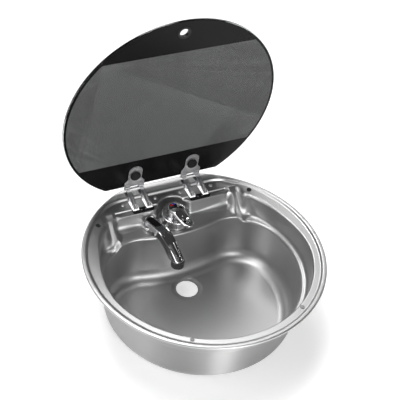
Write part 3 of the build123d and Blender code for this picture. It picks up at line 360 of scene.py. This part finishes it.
def air(x, y, z):
    """Distance to the air above the sheet, negative in the air."""
    side = np.abs(x)
    r = np.hypot(x, y)
    rim = common(common(r - RIM_R, y - RIM_REAR_Y, 5.0), z, 2.6)
    outline = common(r - LAND_R, y - DECK_REAR_Y, 9.0)
    shelf = np.hypot(np.maximum(np.maximum(SHELF_FROM - side, side - RECESS_X), 0), y - SHELF_Y) - RECESS_R
    floor = LAND_Z - 2.0 * eased(144.0, 148.0, y)
    floor = floor + (SHELF_Z - floor) * eased(1.6, -1.6, shelf)
    hollow = joined(-rim, common(outline - 0.7 * (z - LAND_Z), floor - z, 1.3), 1.6)
    # recess of the tap, with leaning walls and a round notch behind the tap
    above_deck = z - TAP_DECK_Z
    wide, deep = side - RECESS_X + 0.1 * above_deck, np.abs(y - RECESS_Y) - RECESS_REACH
    recess = (np.hypot(np.maximum(wide, 0), np.maximum(deep, 0)) + np.minimum(np.maximum(wide, deep), 0)
              - RECESS_R)
    notch = np.hypot(x - NOTCH_X, y - NOTCH_Y) - NOTCH_R
    plan = joined(recess - 0.18 * above_deck, notch, 9.0)
    hollow = joined(hollow, common(plan, TAP_DECK_Z - z, 4.0 + 8.0 * eased(40.0, 98.0, side)), 3.4)
    # side pockets with their sloping rear ends, and the ridges between them and the recess
    around = np.degrees(np.arctan2(y, side))
    narrow = eased(-20.0, 18.0, around)
    above_ledge = z - LEDGE_Z
    mouth = r - POCKET_R + 5.0 * narrow - above_ledge / 12.0 * (1 - narrow)
    ramp = (y - 139.5 - RAMP_SLOPE * (z - LAND_Z)) / math.hypot(1, RAMP_SLOPE)
    pocket = common(common(mouth, ramp, 22.0), np.minimum(POCKET_FROM - side, y - RECESS_Y), 16.0)
    pocket = common(pocket, LEDGE_Z - z, 5.0)
    crest = 2.0 * np.exp(-((side - 117.0) / 4.0) ** 2) * eased(136.0, 126.0, y)
    above = ((y - 134.0) * 32.0 / 31.0 - 8.0 + crest - z) / math.hypot(1, 32.0 / 31.0)
    ridge_floor = TAP_DECK_Z - 10.0 * eased(112.0, 127.0, side) - z
    ridge = common(common(common(above, side - 132.0, 7.0), RECESS_X - side, 2.0), ridge_floor, 6.0)
    ridge = np.maximum(ridge, 70.0 - y)
    roll = 2.6 + 4.4 * eased(18.0, 34.0, around) * eased(58.0, 48.0, around)
    hollow = joined(hollow, joined(pocket, ridge, 8.0), roll)
    bowl = bowl_plan(x, y) - above_ledge * math.tan(math.radians(2.0))
    drain = np.hypot(x - DRAIN[0], y - DRAIN[1])
    bottom = BOWL_FLOOR_Z - 0.8 * eased(30.0, 22.0, drain)
    return joined(hollow, common(bowl, bottom - z, 24.0), 4.5)


def slope_of(field, points, step=0.02):
    """Gradient of a field of x, y and z at many points."""
    slope = np.empty_like(points)
    for axis in range(3):
        shift = np.zeros(3)
        shift[axis] = step
        slope[:, axis] = (field(*(points + shift).T) - field(*(points - shift).T)) / (2 * step)
    return slope


def settled(points, field, rounds=3):
    """Points moved along the slope onto the place where the field is zero."""
    for _ in range(rounds):
        slope = slope_of(field, points)
        points = points - slope * (field(*points.T) / np.maximum((slope ** 2).sum(1), 0.2))[:, None]
    return points


def skin(field, axes):
    """Surface nets over a grid: a vertex in each cell that the surface crosses, a quad per crossed edge."""
    value = field(*np.meshgrid(*axes, indexing="ij"))
    below = value < 0
    shape = tuple(n - 1 for n in value.shape)
    total = np.zeros((3,) + shape)
    count = np.zeros(shape)
    for axis in range(3):
        for i, j in ((0, 0), (0, 1), (1, 0), (1, 1)):
            first, second = [a for a in range(3) if a != axis]
            low = [slice(None, -1)] * 3
            low[first] = slice(i, shape[first] + i)
            low[second] = slice(j, shape[second] + j)
            high = list(low)
            high[axis] = slice(1, None)
            start, end = value[tuple(low)], value[tuple(high)]
            crossed = (start < 0) != (end < 0)
            count += crossed
            total[axis] += np.where(crossed, start / np.where(crossed, start - end, 1), 0)
            total[first] += crossed * i
            total[second] += crossed * j
    used = count > 0
    number = np.full(shape, -1)
    number[used] = np.arange(used.sum())
    cell = np.argwhere(used)
    points = np.stack([np.interp(cell[:, a] + total[a][used] / count[used], np.arange(len(axes[a])), axes[a])
                       for a in range(3)], 1)
    quads = []
    for axis in range(3):
        first, second = [a for a in range(3) if a != axis]
        low, high = [slice(1, -1)] * 3, [slice(1, -1)] * 3
        low[axis], high[axis] = slice(0, -1), slice(1, None)
        start, end = below[tuple(low)], below[tuple(high)]
        at = np.argwhere(start != end)
        falling = start[tuple(at.T)]
        ring = []
        for i, j in ((0, 0), (1, 0), (1, 1), (0, 1)):
            corner = at.copy()
            corner[:, first] += i
            corner[:, second] += j
            ring.append(number[tuple(corner.T)])
        quad = np.stack(ring, 1)
        turned = ~falling if axis == 1 else falling
        quad[turned] = quad[turned][:, ::-1]
        quads.append(quad)
    return points, np.concatenate(quads)


def outer_edges(quads):
    """Edges that only one quad uses, each in that quad's direction."""
    edges = np.concatenate([quads[:, [i, (i + 1) % 4]] for i in range(4)])
    both = np.sort(edges, 1)
    _, where, times = np.unique(both, axis=0, return_inverse=True, return_counts=True)
    return edges[times[where.ravel()] == 1]


def trimmed(points, quads, opening):
    """The skin without what lies in an opening, its new edge moved onto the opening's outline."""
    centre = points[quads].mean(1)
    quads = quads[opening(*centre.T) > 0]
    edge = np.unique(outer_edges(quads))
    near = edge[np.abs(opening(*points[edge].T)) < 2 * GRID]
    points = points.copy()
    for _ in range(3):
        points[near] = settled(settled(points[near], opening, 1), air, 1)
    points[near] = settled(points[near], opening, 1)
    used = np.unique(quads)
    number = np.zeros(len(points), int)
    number[used] = np.arange(len(used))
    return points[used], number[quads]


def sink_openings():
    """Below the lip, drain hole, tap hole and the slots of the hinge arms."""
    def below_lip(x, y, z):
        return np.where((np.hypot(x, y) > RIM_R - 5.0) | (y > RIM_REAR_Y - 5.0), z - LIP_Z, 9.0)

    def round_hole(at_x, at_y, radius):
        return lambda x, y, z: np.hypot(x - at_x, y - at_y) - radius

    def arm_slot(at_x):
        return lambda x, y, z: np.maximum(np.abs(x - at_x) - SLOT_HALF, np.abs(y - SLOT_Y) - SLOT_REACH)

    holes = [below_lip, round_hole(*DRAIN), round_hole(*TAP_HOLE)]
    for hinge in (-HINGE_X, HINGE_X):
        holes += [arm_slot(hinge + offset) for offset in (-ARM_X, ARM_X)]
    return holes


def make_sink():
    levels = [np.arange(low, high, step) for low, high, step in
              ((-138.0, -50.0, 2.0), (-50.0, -12.0, 1.6), (-12.0, 2.0, 0.8))]
    axes = np.arange(-216.0, 216.1, GRID), np.arange(-216.0, 206.1, GRID), np.concatenate(levels)
    points, quads = skin(air, axes)
    points = settled(points, air)
    for opening in sink_openings():
        points, quads = trimmed(points, quads, opening)
    inward = slope_of(air, points)
    inward /= np.linalg.norm(inward, axis=1)[:, None]
    under = points + SHEET * inward
    count = len(points)
    edges = outer_edges(quads)
    walls = np.stack([edges[:, 1], edges[:, 0], edges[:, 0] + count, edges[:, 1] + count], 1)
    corners = np.concatenate([points, under])
    faces = np.concatenate([quads, quads[:, ::-1] + count, walls])
    mesh = bpy.data.meshes.new("sink_shell")
    mesh.from_pydata(corners * MM, [], faces.tolist())
    mesh.polygons.foreach_set("use_smooth", np.ones(len(faces), bool))
    first = corners[walls[:, 0]]
    side = np.cross(corners[walls[:, 1]] - first, corners[walls[:, 2]] - first)
    side /= np.maximum(np.linalg.norm(side, axis=1), 1e-9)[:, None]
    normals = np.concatenate([-inward[quads.ravel()], inward[quads[:, ::-1].ravel()], np.repeat(side, 4, 0)])
    mesh.normals_split_custom_set(normals.tolist())
    sink = bpy.data.objects.new("sink_shell", mesh)
    bpy.context.scene.collection.objects.link(sink)
    mesh.materials.append(STEEL)
    mesh.materials.append(SHADED_WALL_STEEL)
    # faces of the outer wall below the lip take the darker steel, a painted shade
    outer_wall = np.zeros(len(faces), int)
    outer_wall[len(quads):2 * len(quads)] = corners[quads].mean(1)[:, 2] < LIP_Z
    mesh.polygons.foreach_set("material_index", outer_wall)
    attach(sink, "sink")
    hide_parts("sink_bowl")


make_sink()


# ---- pieces drawn as solids ----
def formed(name, solid, low, high, grid, finish, body, node):
    """A smooth closed piece: solid is negative in the metal, low and high bound it, in mm."""
    axes = [np.arange(a - 2 * grid, b + 2.5 * grid, grid) for a, b in zip(low, high)]
    points, quads = skin(lambda x, y, z: -solid(x, y, z), axes)
    points = settled(points, solid)
    outward = slope_of(solid, points)
    outward /= np.maximum(np.linalg.norm(outward, axis=1), 1e-6)[:, None]
    mesh = bpy.data.meshes.new(name)
    mesh.from_pydata(points * MM, [], quads.tolist())
    mesh.polygons.foreach_set("use_smooth", np.ones(len(quads), bool))
    mesh.normals_split_custom_set(outward[quads.ravel()].tolist())
    piece = bpy.data.objects.new(name, mesh)
    bpy.context.scene.collection.objects.link(piece)
    mesh.materials.append(finish)
    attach(piece, body)
    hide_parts(node)


def ahead(x, y, at_x, at_y, yaw):
    """Place along and across a bar that points forward and yaw degrees to the right."""
    turn = math.radians(yaw)
    dx, dy = x - at_x, y - at_y
    return dx * math.sin(turn) - dy * math.cos(turn), dx * math.cos(turn) + dy * math.sin(turn)


# ---- the tap ----
BALL = (0.0, 121.7, -20.0)      # centre of the dome under the lever's cap
LEAN = math.radians(8.0)
POST_X, POST_Y = -49.0, 121.5   # the spout's post
SPOUT_YAW = 18.4                # degrees to the right of straight forward
DISH_AT = 29.5                  # thumb dish, along the handle
# the handle's middle line, smoothed from a few heights above the ball's centre
CROWN_AT = np.linspace(-18, 48, 67)
CROWN_HEIGHT = np.interp(CROWN_AT, (-20, -15, -8, 0, 8, 15, 22, 30, 38, 50),
                         (15.2, 16.6, 18.2, 18.9, 17.6, 14.6, 11.6, 9.2, 7.8, 6.6))
WINDOW = np.hanning(11)
CROWN_HEIGHT = np.convolve(np.pad(CROWN_HEIGHT, 4, "edge"), WINDOW[1:-1] / WINDOW.sum(), "valid")


def axis_height(y, z):
    """Height above the ball's centre along the lever's leaning axis."""
    return (z - BALL[2]) * math.cos(LEAN) - (y - BALL[1]) * math.sin(LEAN)


def from_axis(x, y, z):
    """Distance from that axis."""
    across = (y - BALL[1]) * math.cos(LEAN) + (z - BALL[2]) * math.sin(LEAN)
    return np.hypot(x - BALL[0], across)


def handle_crown(s):
    """Height of the handle's middle line above the ball's centre: arched over the cap, then easing out."""
    return np.interp(s, CROWN_AT, CROWN_HEIGHT)


def lever_form(x, y, z):
    """Broad crowned handle with a thumb dish, the round cap under it and the stem."""
    s, w = ahead(x, y, BALL[0], BALL[1], LEVER_YAW)
    h = z - BALL[2]
    half = 13.2 - 0.04 * (s + 15)
    plan = np.hypot(np.maximum(np.abs(s - 14.5) - 18.5, 0), w) - half
    top = handle_crown(s) - 1.8 * (w / 12) ** 2
    thick = 5.0 + 1.5 * eased(0, 40, s) - 1.4 * eased(-7, -14, s)
    slab = np.maximum(h - top, top - thick + 1.2 * (w / 12) ** 2 - h)
    handle = common(plan, slab * 0.95, 2.4)
    dish = 15.0 - np.sqrt((s - DISH_AT) ** 2 + 1.25 * w ** 2 + (h - handle_crown(DISH_AT) - 12.8) ** 2)
    handle = common(handle, dish, 1.2)
    ball = np.sqrt((x - BALL[0]) ** 2 + (y - BALL[1]) ** 2 + h ** 2)
    up = axis_height(y, z)
    cap = common(ball - 17.9, 10.0 - up, 0.8)
    whole = joined(handle, cap, 2.5)
    whole = common(whole, 16.5 - ball, 0.4)
    stem = np.maximum(from_axis(x, y, z) - 4.0, np.maximum(-3.0 - up, up - 17.0))
    return np.minimum(whole, stem)


def mark_form(x, y, z):
    """Oval mark let into the rear of the handle."""
    s, w = ahead(x, y, BALL[0], BALL[1], LEVER_YAW)
    h = z - BALL[2]
    oval = (np.sqrt(((s + 10.5) / 2.9) ** 2 + (w / 5.4) ** 2) - 1) * 2.9
    top = handle_crown(s) - 1.8 * (w / 12) ** 2 + 0.15
    return common(oval, np.maximum(h - top, top - 1.3 - h), 0.15)


def spout_form(x, y, z):
    """Swivel spout: level from the post to the crest with raised rails, then a crowned slope to the tip."""
    s, w = ahead(x, y, POST_X, POST_Y, SPOUT_YAW)
    half = 10.0 + 2.5 * np.clip(s / 83.5, 0, 1)
    front = common(np.abs(w) - half, s - 88.5 + 0.03 * w ** 2, 5.0)
    plan = np.where(s < 0, np.hypot(s, w) - 10.0, front)
    slope = eased(38.0, 56.0, s)
    drop = 2.6 * (w / 11.5) ** 2 * slope
    edge = np.minimum(-plan, 6)
    drop = drop + 0.9 * eased(1.9, 3.4, edge) * (1 - eased(36.0, 50.0, s))
    reach = np.abs(w) / (9.3 - 6.5 * eased(60.0, 84.0, s) - 8.0 * eased(50.0, 36.0, s) + 0.01)
    drop = drop + 0.8 * eased(1.08, 0.86, reach) * eased(36.0, 44.0, s) * eased(85.0, 78.0, s)
    level = z + 15.0 + drop
    fall = 0.9827
    tilt = (z + 15.0 + drop * 1.3 + (s - 47.0) * fall) / math.hypot(1, fall)
    over = common(level, tilt, 14.0)
    under = (-(z + 33.0) - (s - 42.1) * fall) / math.hypot(1, fall)
    below = joined(-27.8 - z, common(-33.0 - z, 22.0 - s, 1.5), 2.0)
    below = joined(below, common(under, -56.0 - z, 1.5), 6.0)
    return common(common(plan, over, 2.2 + 1.2 * slope), below, 1.2)


def body_form(x, y, z):
    """Mixer body: a round cup with a thick rolled ring, its foot, the neck and the spout's post."""
    r = np.hypot(x - BALL[0], y - BALL[1])
    up = axis_height(y, z)
    ring = 5.45
    cup = common(r - 26.5 + (z + 34.0) * 0.04, up - ring, 1.6)
    well = common(from_axis(x, y, z) - 21.5, ring - 3.5 - up, 1.0)
    cup = common(cup, -well, 0.9)
    from_post = np.hypot(x - POST_X, y - POST_Y)
    foot = from_post - 13.0
    along = np.clip(-(x - BALL[0]) / -POST_X, 0, 1)
    neck = np.maximum(np.abs(y - 121.6) - 15.0 + 3.0 * along, np.maximum(x, POST_X - x))
    base = common(joined(foot, neck, 6.0), z + 28.4, 1.5)
    whole = common(joined(cup, base, 5.0), -34.0 - z, 0.6)
    post = np.maximum(from_post - 6.0, np.maximum(z + 17.0, -30.0 - z))
    shank = np.maximum(r - 16.0, np.maximum(z + 33.0, -62.0 - z))
    return np.minimum(np.minimum(whole, post), shank)


formed("lever_handle", lever_form, (-20, 72, -25), (24, 142, 2), 0.8, CHROME,
       "lever_handle", "lever")
formed("temperature_mark", mark_form, (-10, 125, -8), (6, 140, 1), 0.35, MARK,
       "lever_handle", "lever_marker")
formed("swivel_spout", spout_form, (-61, 33, -57), (-10, 133, -14), 0.8, CHROME,
       "spout", "tap_spout")
formed("mixer_body", body_form, (-63, 94, -63), (28, 150, -7), 1.0, SOFT_CHROME,
       "sink", "tap_body")


def turned(name, places, profile, finishes, body, node, slot):
    """Round pieces: one outline of (radius, height) in mm turned at each place, with that place's finish."""
    steps = 40
    mesh = bpy.data.meshes.new(name)
    points, faces, kinds = [], [], []
    for kind, (at_x, at_y, at_z, scale) in enumerate(places):
        start = len(points)
        for radius, height in profile:
            for k in range(steps):
                turn = 2 * math.pi * k / steps
                points.append((at_x + scale * radius * math.cos(turn), at_y + scale * radius * math.sin(turn),
                               at_z + height))
        for ring in range(len(profile) - 1):
            for k in range(steps):
                a, b = start + ring * steps + k, start + ring * steps + (k + 1) % steps
                faces.append((a, b, b + steps, a + steps))
        faces.append(tuple(start + k for k in reversed(range(steps))))
        faces.append(tuple(start + (len(profile) - 1) * steps + k for k in range(steps)))
        kinds += [kind] * (len(faces) - len(kinds))
    mesh.from_pydata([tuple(value * MM for value in point) for point in points], [], faces)
    for finish in finishes:
        mesh.materials.append(finish)
    mesh.polygons.foreach_set("material_index", kinds)
    mesh.polygons.foreach_set("use_smooth", [True] * len(faces))
    piece = bpy.data.objects.new(name, mesh)
    bpy.context.scene.collection.objects.link(piece)
    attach(piece, body)
    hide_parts(node)


def on_ring(radius, angle, height, scale):
    """A place on a ring about the sink's middle, with its height and scale."""
    return radius * math.cos(math.radians(angle)), radius * math.sin(math.radians(angle)), height, scale


# angle round the rim, scale
rests = [on_ring(193, angle, -3.2, scale) for angle, scale in ((40, 1.0), (140, 1.0), (239, 0.8), (301, 0.8))]
turned("lid_rests", rests,
       ((4.5, 0.0), (4.5, 1.0), (4.2, 1.5), (3.4, 1.7), (3.2, 1.35), (1.6, 1.3), (1.3, 1.6), (0.05, 1.6)),
       (RUBBER, RUBBER, PALE_RUBBER, PALE_RUBBER), "sink", "lid_buffers", "rubber")
RIVET_Y = 160.0
rivets = [(side * HINGE_X + offset, RIVET_Y, -5.1, 0.85) for side in (-1, 1) for offset in (-31.0, 31.0)]
turned("deck_rivet_heads", rivets,
       ((2.0, -2.6), (2.0, -0.4), (4.6, -0.2), (4.7, 0.3), (4.2, 0.35), (3.9, 0.15), (3.6, 0.6), (3.0, 1.25),
        (2.0, 1.75), (0.9, 1.95), (0.05, 2.0)), (BRIGHT,) * 4, "sink", "deck_rivets", "polished_steel")


# ---- stage and light ----
# level of the side walls of the studio, by direction from -X round through -Y, +X and +Y
SIDE_BANDS = ((0.00, 0.60), (0.03, 1.20), (0.07, 0.40), (0.11, 0.06), (0.16, 0.20), (0.21, 1.20),
              (0.29, 1.20), (0.34, 0.30), (0.38, 0.03), (0.50, 0.04), (0.57, 0.60), (0.63, 1.10),
              (0.72, 0.90), (0.80, 0.25), (0.92, 0.30), (1.00, 0.60))
ZENITH = 0.06
FLOOR_GLOW = 0.35
# direction, full and zero angle in degrees, strength
SOFT_BOXES = (((0.05, 0.52, 0.85), 10, 20, 6.4), ((-0.75, 0.10, 0.65), 12, 34, 0.5),
              ((0.80, -0.36, 0.48), 1.5, 4, 3.0))


def make_world():
    """Studio surroundings: soft boxes and dark gaps."""
    world = bpy.data.worlds.new("studio")
    world.use_nodes = True
    tree = world.node_tree
    tree.nodes.clear()
    link = tree.links.new
    out = add(tree, "ShaderNodeOutputWorld")
    lit = put(add(tree, "ShaderNodeBackground"), Strength=1.0)
    place = add(tree, "ShaderNodeTexCoord")
    parts = add(tree, "ShaderNodeSeparateXYZ")
    angle = add(tree, "ShaderNodeMath", operation="ARCTAN2")
    share = put(add(tree, "ShaderNodeMapRange"), From_Min=-math.pi, From_Max=math.pi)
    bands = add(tree, "ShaderNodeValToRGB")
    bands.color_ramp.interpolation = "EASE"
    ramp = bands.color_ramp.elements
    while len(ramp) < len(SIDE_BANDS):
        ramp.new(0.5)
    for stop, (at, value) in zip(ramp, SIDE_BANDS):
        stop.position = at
        stop.color = (value, value, value, 1)
    height = put(add(tree, "ShaderNodeMapRange"), From_Min=0.30, From_Max=0.75)
    level = add(tree, "ShaderNodeMix", data_type="RGBA")
    level.inputs["B"].default_value = (*[ZENITH] * 3, 1)
    link(place.outputs["Generated"], parts.inputs[0])
    link(parts.outputs["Y"], angle.inputs[0])
    link(parts.outputs["X"], angle.inputs[1])
    link(angle.outputs[0], share.inputs["Value"])
    link(share.outputs["Result"], bands.inputs["Fac"])
    link(parts.outputs["Z"], height.inputs["Value"])
    link(height.outputs["Result"], level.inputs["Factor"])
    link(bands.outputs["Color"], level.inputs["A"])
    total = level.outputs["Result"]
    for direction, inner, outer, strength in SOFT_BOXES:
        facing = add(tree, "ShaderNodeVectorMath", operation="DOT_PRODUCT")
        facing.inputs[1].default_value = Vector(direction).normalized()
        lobe = put(add(tree, "ShaderNodeMapRange", interpolation_type="SMOOTHSTEP"),
                   From_Min=math.cos(math.radians(outer)), From_Max=math.cos(math.radians(inner)),
                   To_Max=strength)
        both = add(tree, "ShaderNodeVectorMath", operation="ADD")
        link(place.outputs["Generated"], facing.inputs[0])
        link(facing.outputs["Value"], lobe.inputs["Value"])
        link(total, both.inputs[0])
        link(lobe.outputs["Result"], both.inputs[1])
        total = both.outputs[0]
    link(total, lit.inputs["Color"])
    link(lit.outputs[0], out.inputs["Surface"])
    bpy.context.scene.world = world


def make_floor():
    mesh = bpy.data.meshes.new("floor")
    size = 30.0
    mesh.from_pydata([(-size, -size, FLOOR_Z), (size, -size, FLOOR_Z), (size, size, FLOOR_Z),
                      (-size, size, FLOOR_Z)], [], [(0, 1, 2, 3)])
    floor = bpy.data.objects.new("floor", mesh)
    bpy.context.scene.collection.objects.link(floor)
    mat, tree = new_tree("pale_floor")
    out = add(tree, "ShaderNodeOutputMaterial")
    plain = put(add(tree, "ShaderNodeBsdfDiffuse"), Color=(0.93, 0.93, 0.93, 1))
    glow = put(add(tree, "ShaderNodeEmission"), Strength=FLOOR_GLOW)
    both = add(tree, "ShaderNodeAddShader")
    path = add(tree, "ShaderNodeLightPath")
    mix = add(tree, "ShaderNodeMixShader")
    seen = path.outputs["Is Camera Ray"]
    for ray in ("Is Glossy Ray", "Is Transmission Ray"):
        either = add(tree, "ShaderNodeMath", operation="MAXIMUM")
        tree.links.new(seen, either.inputs[0])
        tree.links.new(path.outputs[ray], either.inputs[1])
        seen = either.outputs[0]
    tree.links.new(plain.outputs[0], both.inputs[0])
    tree.links.new(glow.outputs[0], both.inputs[1])
    tree.links.new(seen, mix.inputs[0])
    tree.links.new(plain.outputs[0], mix.inputs[1])
    tree.links.new(both.outputs[0], mix.inputs[2])
    tree.links.new(mix.outputs[0], out.inputs["Surface"])
    mesh.materials.append(mat)


# name, place, aim, size, power in watts
LAMPS = (("overhead", (-0.35, 0.3, 2.1), (0, 0, -0.05), (0.8, 0.8), 14),
         ("left", (-1.3, -0.2, 1.7), (0, 0, -0.05), (0.9, 0.7), 6),
         ("front_strip", (0.0, -1.5, 0.5), (0, 0, -0.08), (0.5, 1.0), 9))


def area_light(name, place, target, size, power):
    data = bpy.data.lights.new(name, "AREA")
    data.shape = "RECTANGLE"
    data.size, data.size_y = size
    data.energy = power
    lamp = bpy.data.objects.new(name, data)
    lamp.location = place
    lamp.rotation_mode = "QUATERNION"
    lamp.rotation_quaternion = (Vector(target) - Vector(place)).to_track_quat("-Z", "Y")
    bpy.context.scene.collection.objects.link(lamp)


bpy.context.scene.view_settings.view_transform = "Standard"
make_camera()
make_world()
make_floor()
for lamp in LAMPS:
    area_light(*lamp)
